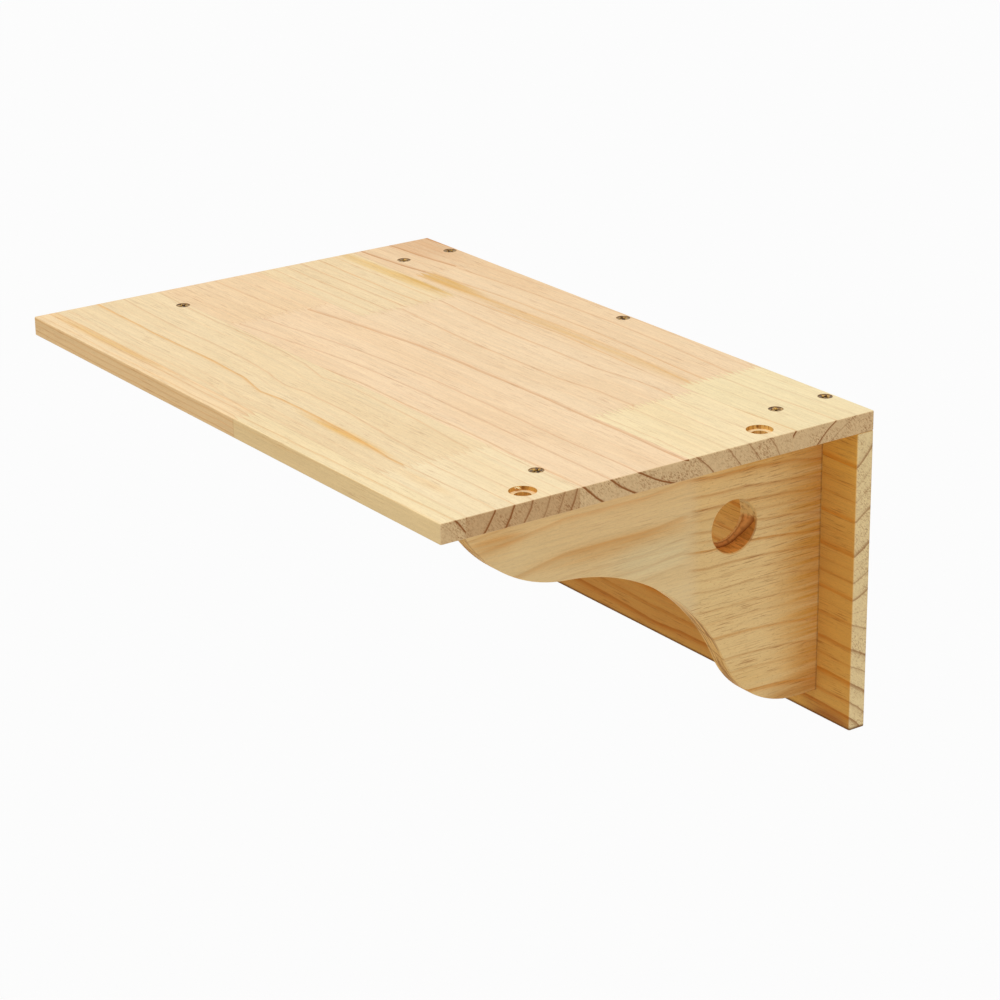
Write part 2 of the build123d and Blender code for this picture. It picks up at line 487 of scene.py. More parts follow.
def block_rings(graph, distance, stave, block, board):
    """The rings of one block, a few lines to each colour ramp, which takes over where the last one ends."""
    near, far = stave_section(stave, board.depth_range, block.pith)
    share = graph.remap(distance, near, far)
    lines = sorted(block.lines, key=lambda line: abs(line.across - block.pith[0]))
    groups = [lines[first:first + LINES_PER_RAMP] for first in range(0, len(lines), LINES_PER_RAMP)]
    ramps = [line_stops(group, block, board.face, near, far) for group in groups]
    rings = graph.ramp(share, ramps[0])
    for before, stops in zip(ramps, ramps[1:]):
        beyond = graph.math("GREATER_THAN", share, before[-1][0])
        rings = graph.mix(beyond, rings, graph.ramp(share, stops))
    return rings


# Masks


def finger_edge(graph, across, length):
    """The zigzag of a finger joint: a triangle wave across the stave, with fingers of uneven length."""
    pitch = 3.3
    shortest = 0.75
    unevenness = 0.5
    phase = graph.math("DIVIDE", across, pitch)
    wave = graph.math("PINGPONG", phase, 0.5)
    finger = graph.math("FLOOR", phase)
    uneven = graph.add("ShaderNodeTexWhiteNoise", {"W": finger}, noise_dimensions="1D").outputs[0]
    reach = graph.math("MULTIPLY_ADD", uneven, unevenness, shortest)
    wave = graph.math("MULTIPLY_ADD", wave, 2 * length, -length / 2)
    return graph.product(wave, reach)


def between(graph, value, low, high, fade=0.0):
    """One where the value lies between two others and zero elsewhere, both ends sharp or faded."""
    if fade:
        above = graph.remap(value, low - fade, low + fade, smooth=True)
        return graph.product(above, graph.remap(value, high - fade, high + fade, 1.0, 0.0, smooth=True))
    above = graph.math("GREATER_THAN", value, low)
    return graph.product(above, graph.math("LESS_THAN", value, high))


def thin_line(graph, value, at, half_width):
    """One on a line, fading to zero at its half width."""
    return graph.remap(graph.gap(value, at), 0.0, half_width, 1.0, 0.0)


def radius_from(graph, values, middle, half_sizes):
    """The distance from a middle, as a share of an ellipse's half sizes."""
    shares = [
        graph.math("DIVIDE", graph.math("SUBTRACT", value, at), half)
        for value, at, half in zip(values, middle, half_sizes)
    ]
    return graph.length(*shares)


def screw_bores(axis):
    """The mouths of the screw holes that run along an axis, as places on the board's face, their walls
    darkened: partly the drilled wood's own colour, partly painted shade round the sunk heads.
    """
    spare = 0.05
    # Partly painted shade: a dark ring of wall round each sunk head.
    shaded_wall_brown = srgb(176, 130, 76)
    places = []
    for node in SCREW_NODES:
        low, high = box_mm(node)
        middle = (low + high) / 2
        head_radius = (high[X] - low[X]) / 2
        upright = high[Z] - low[Z] > high[Y] - low[Y]
        if upright == (axis == Z):
            places.append((middle[X], middle[Y] if upright else middle[Z]))
    return Bores(tuple(places), head_radius + spare, shaded_wall_brown, shaded_wall_brown)


# The finish of a board


class Board(NamedTuple):
    """How a piece's timber lies: its axes, best face, depth and staves, and how its sides are finished, with
    painted shade on its long edges.
    """

    along_axis: int
    across_axis: int
    depth_axis: int
    face: float
    depth_range: tuple
    staves: tuple
    side_shade_tint: tuple
    line_tints: tuple
    seam_tint: tuple
    dash_strength: float
    finger_length: float = 0.0
    joint_fade: float = 0.0
    end_strength: float = 1.0
    end_start: float = 0.75
    end_spread: float = 0.5
    sawn_strength: float = 0.0
    bores: tuple = ()
    gaps_and_shade: tuple = ()


class Timber:
    """A board's places in millimetres, how its surface faces, and its noise along the fibres."""

    def __init__(self, graph, board):
        self.graph = graph
        self.place = graph.parts(graph.place_mm())
        self.along = self.place[board.along_axis]
        self.across = self.place[board.across_axis]
        self.depth = self.place[board.depth_axis]
        normal = graph.parts(graph.add("ShaderNodeTexCoord").outputs["Normal"])
        self.facing = [graph.math("ABSOLUTE", part) for part in normal]
        self.end_grain = graph.remap(self.facing[board.along_axis], 0.25, 0.95, smooth=True)
        self.side = graph.math("SUBTRACT", 1.0, self.end_grain)
        self.long_streaks = self.noise(0.02, 0.5, 3.0, 0.6)
        self.streaks = self.noise(0.06, 1.0, 3.0, 0.65)
        self.fibres = self.noise(0.2, 2.2, 3.0, 0.7)

    def noise(self, share, scale, detail=2.0, roughness=0.5):
        """Noise drawn out along the fibres, where lengths count for the given share only."""
        along = self.graph.product(self.along, share)
        return self.graph.noise(self.graph.vector(along, self.across, self.depth), scale, detail, roughness)

    def shift(self, reach, *noise):
        """The same noise as a shift to both sides, whose two ends are a reach apart."""
        return self.graph.math("MULTIPLY_ADD", self.noise(*noise), reach, -reach / 2)


class Pattern(NamedTuple):
    """What a board's staves add up to: the ground of its faces and ends, glue lines, canals and latewood."""

    ground: object
    end_ground: object
    seams: object
    canals: object
    strength: object
    warmth: object
    full: object
    rise: object


def stave_sway(graph, stave, along):
    """How far the stave's lines are shifted across at each place along it."""
    start = stave.sway[0][0]
    span = stave.sway[-1][0] - start
    reach = max(abs(shift) for _, shift in stave.sway) + 1
    stops = [((at - start) / span, (0.5 + shift / reach / 2,) * 3) for at, shift in stave.sway]
    share = graph.ramp(graph.remap(along, start, start + span), stops)
    return graph.math("MULTIPLY_ADD", share, 2 * reach, -reach)


def add_stains_and_shade(graph, ground, block, inside, timber, quiver):
    """The block's stains and patches of painted shade and light over its ground, in streaks."""
    streaky = graph.remap(timber.long_streaks, 0.3, 0.6, 0.35, 1.0)
    values = timber.along, graph.total(timber.across, quiver)
    for stain_or_shade in block.stains_and_shade:
        radius = radius_from(graph, values, stain_or_shade[:2], stain_or_shade[2:4])
        level = graph.remap(radius, 0.25, 1.1, stain_or_shade.strength, 0.0, smooth=True)
        ground = graph.mix(graph.product(level, streaky, inside), ground, stain_or_shade.colour)
    return ground


def stave_pattern(graph, board, timber):
    """Every block of every stave in its own place, with its own rings round its own pith."""
    joint_width = 0.8
    glue_width = 0.25
    least_full = 0.001
    wander = timber.shift(3.2, 0.35, 0.045, 1.0)
    quiver = timber.shift(1.0, 0.2, 0.24)
    wavy = graph.total(timber.across, wander, quiver)
    lengthwise = graph.math("SUBTRACT", timber.along, finger_edge(graph, timber.across, board.finger_length))
    ground = STRAW
    end_ground = TAN_END
    rings = (0.0, 0.0, 0.0)
    seams = 0.0
    canals = 1.0
    stave_edges = [-FAR, *(stave.low for stave in board.staves[1:]), FAR]
    for stave, low, high in zip(board.staves, stave_edges, stave_edges[1:]):
        swayed = graph.math("SUBTRACT", wavy, stave_sway(graph, stave, timber.along))
        in_stave = between(graph, timber.across, low, high)
        edges = [-FAR, *stave.joints, FAR]
        for block, start, end in zip(stave.blocks, edges, edges[1:]):
            inside = in_stave
            if stave.joints:
                inside = graph.product(in_stave, between(graph, lengthwise, start, end, board.joint_fade))
            from_pith = zip((swayed, timber.depth), block.pith)
            offsets = [graph.math("SUBTRACT", value, middle) for value, middle in from_pith]
            own_rings = block_rings(graph, graph.length(*offsets), stave, block, board)
            rings = graph.mix(inside, rings, own_rings)
            end_ground = graph.mix(inside, end_ground, block.end)
            ground = graph.mix(inside, ground, block.tint)
            ground = add_stains_and_shade(graph, ground, block, inside, timber, quiver)
            if block.canals != 1:
                canals = graph.math("MULTIPLY_ADD", inside, block.canals - 1, canals)
        for joint in stave.joints if not board.joint_fade else ():
            seam = graph.product(thin_line(graph, lengthwise, joint, joint_width), in_stave)
            seams = graph.math("MAXIMUM", seams, seam)
    for stave in board.staves[1:]:
        seams = graph.math("MAXIMUM", seams, thin_line(graph, timber.across, stave.low, glue_width))
    strength, warmth, full = graph.add("ShaderNodeSeparateColor", {0: rings}).outputs
    full = graph.math("MAXIMUM", full, least_full)
    rise = graph.math("DIVIDE", strength, full)
    return Pattern(ground, end_ground, seams, canals, strength, warmth, full, rise)


def resin_canals(graph, timber, pattern, halo):
    """Fine dashes along the fibres, most of them by the latewood, and dots among them."""
    dot_share = 0.45
    gate = graph.total(graph.remap(timber.noise(0.3, 0.07, 1.0), 0.4, 0.6), halo)
    dashes = graph.remap(timber.noise(0.04, 1.6, 2.0, 0.55), 0.57, 0.65)
    dashes = graph.product(dashes, graph.math("MINIMUM", gate, 1.0))
    dots = graph.product(graph.remap(timber.noise(0.4, 1.7, 2.0, 0.6), 0.58, 0.7), dot_share)
    return graph.product(graph.math("MAXIMUM", dashes, dots), timber.side, pattern.canals)


def face_colour(graph, board, timber, pattern, look):
    """The faces: ground with its drift of tone, latewood and resin canals, and painted shade on the long
    edges.
    """
    strongest_line = (0.72, 0.58, 0.48)
    halo_power = 1.5
    palest_break = 0.4
    core = graph.product(graph.remap(pattern.rise, 0.4, 0.95, smooth=True), pattern.full)
    halo = graph.product(graph.math("POWER", pattern.rise, halo_power), pattern.full)
    drift = graph.remap(timber.noise(0.2, 0.05), 0.35, 0.65, 0.0, look.tone_change)
    colour = graph.mix(drift, pattern.ground, look.deep_tone, blend="MULTIPLY")
    line_colour = graph.mix(pattern.warmth, *board.line_tints)
    broken = graph.remap(graph.total(timber.streaks, timber.fibres), 0.75, 1.2, palest_break, 1.0)
    colour = graph.mix(graph.product(halo, look.halo_strength), colour, line_colour)
    colour = graph.mix(graph.product(core, broken, look.line_strength), colour, line_colour)
    colour = graph.mix(graph.math("SUBTRACT", core, 1.0), colour, strongest_line, blend="MULTIPLY")
    dashes = resin_canals(graph, timber, pattern, halo)
    colour = graph.mix(graph.product(dashes, board.dash_strength), colour, look.dash_colour)
    # Painted shade: faces that look across the board are darkened and warmed, as where less light falls.
    edge = graph.remap(timber.facing[board.across_axis], 0.4, 0.9, smooth=True)
    side_shaded = graph.mix(1.0, colour, board.side_shade_tint, blend="MULTIPLY")
    return graph.mix(graph.product(edge, timber.side), colour, side_shaded), dashes


def end_colour(graph, board, timber, pattern, look):
    """The end grain: crisp dark rings, open pores and, on a sawn curve, dark streaks along it."""
    pore_lean = 0.4
    pore_share = 0.8
    line_share = 0.95
    soft_share = 0.3
    sharpness = 3.5
    streak_drawing = 0.05
    lean = graph.product(graph.math("SUBTRACT", timber.across, timber.depth), pore_lean)
    slant = graph.total(timber.across, timber.depth)
    pore_place = graph.vector(lean, slant, graph.product(timber.along, 0.2))
    pore_gate = graph.remap(timber.noise(0.2, 0.09, 1.0), 0.4, 0.6, 0.35, 1.0)
    pores = graph.remap(graph.noise(pore_place, 1.15, 3.0, 0.7), 0.47, 0.66)
    pores = graph.product(pores, pore_gate, timber.end_grain)
    level = graph.remap(pattern.full, 0.1, 0.5, 0.0, line_share * board.end_strength)
    strong = graph.math("MINIMUM", pattern.full, 1.0)
    start = graph.math("MULTIPLY_ADD", strong, -board.end_spread, board.end_start)
    core = graph.math("MULTIPLY", graph.math("SUBTRACT", pattern.rise, start), sharpness, clamp=True)
    colour = graph.mix(graph.product(pattern.rise, level, soft_share), pattern.end_ground, look.end_line)
    colour = graph.mix(graph.product(core, level), colour, look.end_line)
    colour = graph.mix(graph.product(pores, pore_share * board.end_strength), colour, look.end_line)
    if board.sawn_strength:
        drawn_out = [graph.product(value, streak_drawing) for value in (timber.along, timber.across)]
        flow = graph.vector(*drawn_out, timber.depth)
        streaks = graph.product(graph.remap(graph.noise(flow, 1.0), 0.5, 0.56), board.sawn_strength)
        colour = graph.mix(streaks, colour, look.end_line)
    return colour, pores


def add_drilled_walls(graph, colour, board, timber, look):
    """The walls of the holes: rough and dark, with torn strokes across the thickness."""
    outside = 10.0
    stroke_drawing = 0.12
    stroke_share = 0.6
    mark_share = 0.85
    on_flat = 0.3
    wall_end = 1.01, 1.035
    stroke_place = graph.vector(timber.along, timber.across, graph.product(timber.depth, stroke_drawing))
    strokes = graph.remap(graph.noise(stroke_place, 0.75, 2.0, 0.6), 0.5, 0.62)
    flat = graph.remap(timber.facing[board.depth_axis], 0.3, 0.7, 1.0, on_flat)
    below = graph.gap(timber.depth, board.face)
    for bore in board.bores:
        radius = outside
        for middle in bore.places:
            own_radius = radius_from(graph, (timber.along, timber.across), middle, (bore.radius, bore.radius))
            radius = graph.math("MINIMUM", radius, own_radius)
        height = graph.math("SUBTRACT", timber.across, bore.places[0][1])
        lower = bore.lower
        if bore.bottom:
            lower = graph.mix(graph.remap(height, -bore.radius, -0.5 * bore.radius), bore.bottom, lower)
        low_share = graph.remap(height, -0.1 * bore.radius, 0.3 * bore.radius, 1.0, 0.0)
        wall = graph.mix(low_share, bore.upper, lower)
        wall = graph.mix(graph.product(strokes, stroke_share), wall, look.torn_colour)
        for mark in bore.marks:
            spot = radius_from(graph, (below, timber.across), mark[:2], mark[2:])
            level = graph.remap(spot, 0.3, 1.1, mark_share, 0.0, smooth=True)
            wall = graph.mix(level, wall, look.mark_colour)
        inside = graph.remap(radius, *wall_end, 1.0, 0.0)
        colour = graph.mix(graph.product(inside, flat), colour, wall)
    return colour


def add_gaps_and_shade(graph, colour, board, timber, look):
    """Dark lines along a board, faint on faces that look along the axis: where it meets a neighbour, a dark
    gap deepened with painted shade of the corner, and painted shade along an edge that meets nothing.
    """
    sharpness = 1.7
    faint = 0.2
    for axis, at, half_width, level in board.gaps_and_shade:
        line = thin_line(graph, timber.place[axis], at, half_width)
        line = graph.math("MULTIPLY", line, sharpness, clamp=True)
        level = graph.remap(timber.facing[axis], 0.5, 0.9, level, faint * level)
        colour = graph.mix(graph.product(line, level), colour, look.gap_and_shade_colour)
    return colour


def pine(name, board, look):
    """Glued pine: staves and finger-jointed blocks, each with its own rings round its own pith."""
    graph = Graph(bpy.data.materials.new(name))
    timber = Timber(graph, board)
    pattern = stave_pattern(graph, board, timber)
    colour, dashes = face_colour(graph, board, timber, pattern, look)
    ends, pores = end_colour(graph, board, timber, pattern, look)
    colour = graph.mix(timber.end_grain, colour, ends)
    colour = add_drilled_walls(graph, colour, board, timber, look)
    colour = graph.mix(graph.product(pattern.seams, look.seam_strength), colour, board.seam_tint)
    colour = add_gaps_and_shade(graph, colour, board, timber, look)

    relief_strength = 0.4
    relief_depth = 0.07
    end_roughness = 0.9
    changes = (timber.streaks, 1.0), (timber.fibres, 1.0), (timber.long_streaks, 0.7)
    shade = graph.product(*(
        graph.remap(noise, 0.25, 0.75, 1 - share * look.streak_change, 1 + share * look.streak_change)
        for noise, share in changes
    ))
    colour = graph.mix(1.0, colour, graph.vector(shade, shade, shade), blend="MULTIPLY")

    reliefs = (
        (timber.streaks, 0.4), (timber.fibres, 0.4), (pattern.strength, 0.3), (pores, -0.7), (dashes, -0.5),
    )
    height = graph.total(*(graph.product(*relief) for relief in reliefs))
    roughness = graph.remap(timber.streaks, 0.3, 0.7, 0.58, 0.7)
    roughness = graph.math("MAXIMUM", roughness, graph.product(timber.end_grain, end_roughness))
    return graph.finish(**{
        "Base Color": colour, "Roughness": roughness, "Specular IOR Level": WOOD_GLOSS,
        "Normal": graph.bump(height, relief_strength, relief_depth),
    })


def dress(node, material):
    """Give a CAD node its finish."""
    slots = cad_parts[node].data.materials
    slots.clear()
    slots.append(material)


# New pieces


def put_in_scene(name, data):
    """A new object in the scene."""
    thing = bpy.data.objects.new(name, data)
    bpy.context.scene.collection.objects.link(thing)
    return thing


def tube_mesh(name, *grids):
    """One mesh from grids of points, rows by columns: each closes round its columns and at both ends."""
    faces = []
    first = 0
    for grid in grids:
        rows, columns = grid.shape[:2]
        number = first + np.arange(rows * columns).reshape(rows, columns)
        following = np.roll(number, -1, axis=1)
        sides = np.stack([number[:-1], following[:-1], following[1:], number[1:]], axis=-1)
        faces += [*sides.reshape(-1, 4).tolist(), number[0, ::-1].tolist(), number[-1].tolist()]
        first += rows * columns
    points = np.concatenate([grid.reshape(-1, 3) for grid in grids])
    mesh = bpy.data.meshes.new(name)
    mesh.from_pydata(points.tolist(), [], faces)
    return mesh


def carry(mesh, name, values):
    """Give the mesh a value at each of its points."""
    mesh.attributes.new(name, "FLOAT", "POINT").data.foreach_set("value", values.ravel())


# Screws


def recess_depth(x, y, look):
    """Depth of a cross recess: the deeper of two wings, each limited by its walls, its ends and its floor."""
    wall_slope = 6
    end_slope = 1.35
    half_width = look.recess_width / 2 / MM
    half_span = look.recess_span / 2 / MM
    deepest = look.recess_depth / MM

    def wing(u, v):
        return np.minimum((half_width - np.abs(v)) * wall_slope, (half_span - np.abs(u)) * end_slope)

    return np.clip(np.maximum(wing(x, y), wing(y, x)), 0, deepest)


def screw_points(look, head_radius, length):
    """Points of one screw, its head's top at the origin, pointing down, and how deep in the recess each lies.

    The head's top is a disc in rings whose height is lowered by the recess. The side is a radius that
    depends on the height, plus a helical ridge: its height is a triangle of the turn count minus the angle.
    The columns run clockwise, so that the faces look outwards.
    """
    columns = 72
    top_rings = 34
    least_radius = 0.04
    rim_width = 0.12
    rim_ease = 0.05
    dish_depth = 0.05
    point_radius = 0.06
    point_length = 4.0
    neck_length = 0.5
    thread_run_in = 3.0
    thread_run_out = 1.0
    ridge_share = 0.55

    core = look.core_diameter / 2 / MM
    crest = look.thread_diameter / 2 / MM
    shank = look.shank_diameter / 2 / MM
    sunk = look.sunk_depth / MM
    thread_start = -look.shank_length / MM

    angle = np.linspace(2 * np.pi, 0, columns, endpoint=False)[None, :]
    top_radius = np.linspace(least_radius, head_radius - rim_width, top_rings)[:, None]
    x = top_radius * np.cos(angle)
    y = top_radius * np.sin(angle)
    recess = recess_depth(x, y, look)
    dish = dish_depth * (top_radius / head_radius) ** 2
    top = np.stack([x, y, -recess - dish - sunk], axis=-1)

    rims = -sunk - np.array([0.06, 0.14, 0.3])
    cone_end = rims[-1] - head_radius + shank
    heights = np.concatenate([
        rims,
        np.linspace(rims[-1], cone_end, 10)[1:],
        np.linspace(cone_end, thread_start, 6)[1:],
        np.linspace(thread_start, -length, 210)[1:],
    ])[:, None]
    knots = [-length, -length + point_length, thread_start - neck_length, thread_start, cone_end, *rims[::-1]]
    radii = [point_radius, core, core, shank, shank, head_radius, head_radius, head_radius - rim_ease]
    body = np.interp(heights, knots, radii)
    turns = heights / (look.thread_pitch / MM) - angle / (2 * np.pi)
    saw = np.abs(turns - np.floor(turns) - 0.5) * 2
    ridge = np.clip(1 - saw / ridge_share, 0, 1)
    thread = [-length, -length + thread_run_in, thread_start - thread_run_out, thread_start]
    grow = np.interp(heights, thread, [0, 1, 1, 0])
    radius = body + (crest - core) * ridge * grow
    side = np.stack([radius * np.cos(angle), radius * np.sin(angle), heights + 0 * angle], axis=-1)
    hollow = np.concatenate([recess / (look.recess_depth / MM), np.zeros(side.shape[:2])])
    return np.concatenate([top, side]) * MM, hollow


def screw_pose(node, turn):
    """Where a screw stands: the middle of its CAD node's head, and which way it points."""
    low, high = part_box(node)
    size = high - low
    middle = (low + high) / 2
    own_turn = Matrix.Rotation(turn, 4, "Z")
    if size.z > size.y:
        return Matrix.Translation((middle.x, middle.y, high.z)) @ own_turn
    lay_down = Matrix.Rotation(math.radians(-90), 4, "X")
    return Matrix.Translation((middle.x, high.y, middle.z)) @ lay_down @ own_turn


def zinc(look):
    """Yellow zinc plating: a metal whose colour drifts a little, finely gritty, with painted shade in the
    recess.
    """
    grit_strength = 0.3
    grit_depth = 0.02
    graph = Graph(bpy.data.materials.new("yellow_zinc"))
    place = graph.place_mm()
    drift = graph.remap(graph.noise(place, 0.55), 0.42, 0.58)
    grit = graph.noise(place, 9.0, 3.0, 0.6)
    colour = graph.mix(drift, look.zinc_colour, look.zinc_shadow)
    # Painted shade: the deeper in the cross recess, the darker.
    colour = graph.mix(graph.remap(graph.attribute("hollow"), 0.1, 0.7), colour, look.recess_shade_colour)
    roughness = graph.remap(grit, 0.35, 0.65, 0.28, 0.45)
    return graph.finish(**{
        "Base Color": colour, "Roughness": roughness, "Metallic": 1.0,
        "Normal": graph.bump(grit, grit_strength, grit_depth),
    })


# Torn wood


def sliver_points(root, direction, length, width, lift, rows=10, columns=8):
    """A torn fibre: an ellipse along a curve that leaves its root and lifts with the square of the way."""
    point_radius = 0.02
    taper = 0.7
    flatness = 0.45
    share = np.linspace(0, 1, rows)[:, None]
    angle = np.linspace(0, 2 * np.pi, columns, endpoint=False)[None, :]
    side = np.array([-direction[1], direction[0], 0.0])
    radius = width / 2 * (1 - share) ** taper + point_radius
    middle = np.array(root) + share[..., None] * length * np.array([*direction, 0.0])
    middle = middle + (share**2)[..., None] * np.array([0.0, 0.0, lift])
    across = (radius * np.cos(angle))[..., None] * side
    height = (flatness * radius * np.sin(angle))[..., None] * np.array([0.0, 0.0, 1.0])
    return middle + across + height


def ledge_points(bore, inner_face, look):
    """The ledge left where a hole was drilled from both sides with its two middles apart.

    Seen along the hole it is the crescent between two equal circles: its rim is at the distance d cos a plus
    the root of r squared minus d squared sin squared a from the hole's middle, a being the angle from the
    shift. Its thickness on the wall grows along the crescent, and a seven-point profile is carried along it.
    Handed back are the points, how much painted shade each takes in the crease by the wall, and how freshly
    torn each is, with a painted highlight on the rim.
    """
    crescent_ends = -278, -82
    stations = 120
    root_depth = 0.15
    foot_height = 0.05
    edge_height = 0.5
    sunk_ends = 0.1
    rim_waves = (0.12, 23, 0), (0.09, 41, 1)
    slope_shares = (0.05, 0.08), (0.15, 0.2), (0.4, 0.45)
    thickness_angles = [-160, -110, -78, -46, -29, -4, 10, 37]
    thicknesses = [0.3, 0.5, 0.8, 1.8, 4.0, 8.6, 9.2, 9.4]

    middle = np.array(bore.places[0])
    shift = np.hypot(look.ledge_shift_along, look.ledge_shift_up) / MM
    lean = math.atan2(look.ledge_shift_up, look.ledge_shift_along)
    angle = np.linspace(*(lean + math.radians(end) for end in crescent_ends), stations)
    turned = angle - lean
    rim = shift * np.cos(turned) + np.sqrt(bore.radius**2 - (shift * np.sin(turned)) ** 2)
    ragged = sum(reach * np.sin(waves * angle + start) for reach, waves, start in rim_waves)
    rim = np.minimum(rim + ragged, bore.radius + sunk_ends)
    degrees = np.degrees(angle) % 360
    degrees = np.where(degrees > 180, degrees - 360, degrees)
    thickness = np.interp(degrees, thickness_angles, thicknesses)
    edge = np.minimum(edge_height, thickness * 0.6)
    foot = np.full_like(rim, foot_height)
    root = np.full_like(rim, bore.radius + root_depth)
    slope = [(edge + out * (thickness - edge), rim + back * (root - rim)) for out, back in slope_shares]
    profile = [(foot, rim), (edge, rim), *slope, (thickness, root), (foot, root)]
    out = np.stack([offset for offset, _ in profile], axis=1)
    radius = np.stack([distance for _, distance in profile], axis=1)
    y = middle[0] + radius * np.cos(angle)[:, None]
    z = middle[1] + radius * np.sin(angle)[:, None]
    fresh_and_highlight = np.clip((degrees - 2) / 8, 0, 1)[:, None] + 0 * y
    # Painted shade in the crease by the wall, weaker where the wood is freshly torn.
    crease_shade = np.array([0.0, 0.0, 0.0, 0.75, 0.3, 1.0, 1.0]) * (1 - 0.6 * fresh_and_highlight)
    # Painted highlight: the rim's columns are always fairly pale.
    fresh_and_highlight[:, 1:3] = np.maximum(fresh_and_highlight[:, 1:3], 0.6)
    return np.stack([inner_face + out, y, z], axis=-1) * MM, crease_shade, fresh_and_highlight


def torn_pine(name, colour, dark, pale):
    """Torn wood: coarse fibre strokes, pale where it is freshly torn and under a painted highlight on the
    ledge's rim, and darkened with painted shade where it meets the wall.
    """
    stroke_share = 0.4
    stroke_relief = 0.3
    stroke_depth = 0.1
    graph = Graph(bpy.data.materials.new(name))
    strokes = graph.noise(graph.place_mm(), 0.45)
    shown = graph.mix(graph.attribute("fresh_and_highlight"), colour, pale)
    shown = graph.mix(graph.remap(strokes, 0.5, 0.64, 0.0, stroke_share), shown, dark)
    # Painted shade in the crease where the ledge meets the wall.
    shown = graph.mix(graph.remap(graph.attribute("wall"), 0.45, 0.95), shown, dark)
    return graph.finish(**{
        "Base Color": shown, "Roughness": 0.8, "Specular IOR Level": WOOD_GLOSS,
        "Normal": graph.bump(strokes, stroke_relief, stroke_depth),
    })


def add_torn_piece(name, mesh, wall, fresh_and_highlight, material):
    """Give a torn piece its attributes and its finish, and let it ride with the shelf."""
    carry(mesh, "wall", wall)
    carry(mesh, "fresh_and_highlight", fresh_and_highlight)
    mesh.materials.append(material)
    piece = put_in_scene(name, mesh)
    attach(piece, "root")
    return piece


# Settings


class ShelfViewSettings(bpy.types.PropertyGroup):
    """Where the camera stands and how it looks."""

    place: bpy.props.FloatVectorProperty(
        name="Place", description="Where the camera stands", default=(1.21712, -0.93909, 0.5644),
        subtype="TRANSLATION", unit="LENGTH",
    )
    azimuth: bpy.props.FloatProperty(
        name="Azimuth", description="Turn of the view about the vertical", default=math.radians(54.94),
        subtype="ANGLE",
    )
    elevation: bpy.props.FloatProperty(
        name="Elevation", description="How far the view looks down", default=math.radians(20.65),
        subtype="ANGLE",
    )
    roll: bpy.props.FloatProperty(
        name="Roll", description="Tilt of the camera about its own line of sight",
        default=math.radians(-0.69), subtype="ANGLE",
    )
    focal_length: bpy.props.FloatProperty(
        name="Focal length", description="Lens of the camera, for a 36 mm sensor", default=110.5, min=10,
        unit="CAMERA",
    )


class ShelfStageSettings(bpy.types.PropertyGroup):
    """The floor and the light."""

    floor_drop: bpy.props.FloatProperty(
        name="Floor drop", description="How far the shelf hangs above the floor", default=1.0, min=0,
        unit="LENGTH",
    )
    floor_width: bpy.props.FloatProperty(
        name="Floor width", description="Side of the square floor", default=60.0, min=1, unit="LENGTH",
    )
    floor_colour: bpy.props.FloatVectorProperty(
        name="Floor colour", description="Colour of the plain floor", default=(0.96, 0.96, 0.96),
        subtype="COLOR",
        min=0, max=1,
    )
    floor_bounce: bpy.props.FloatVectorProperty(
        name="Floor bounce", description="Colour of the light that the floor throws back",
        default=(0.72, 0.7, 0.67), subtype="COLOR", min=0, max=1,
    )
    floor_glow: bpy.props.FloatProperty(
        name="Floor glow", description="Added to the floor where the camera sees it", default=0.07, min=0,
    )
    sky_strength: bpy.props.FloatProperty(
        name="Sky strength", description="Level of the light from all around", default=0.512, min=0,
    )
    sky_seen: bpy.props.FloatProperty(
        name="Sky seen", description="Level of the sky where the camera or a reflection shows it",
        default=0.96, min=0,
    )
    sun_strength: bpy.props.FloatProperty(
        name="Lamp strength", description="Level of the soft lamp", default=1.4, min=0,
    )
    sun_softness: bpy.props.FloatProperty(
        name="Lamp softness", description="How wide the soft lamp looks from the shelf",
        default=math.radians(50), subtype="ANGLE",
    )
    sun_azimuth: bpy.props.FloatProperty(
        name="Lamp azimuth", description="Turn of the lamp about the vertical, from the front",
        default=math.radians(10), subtype="ANGLE",
    )
    sun_elevation: bpy.props.FloatProperty(
        name="Lamp elevation", description="Height of the lamp above the horizon", default=math.radians(75),
        subtype="ANGLE",
    )


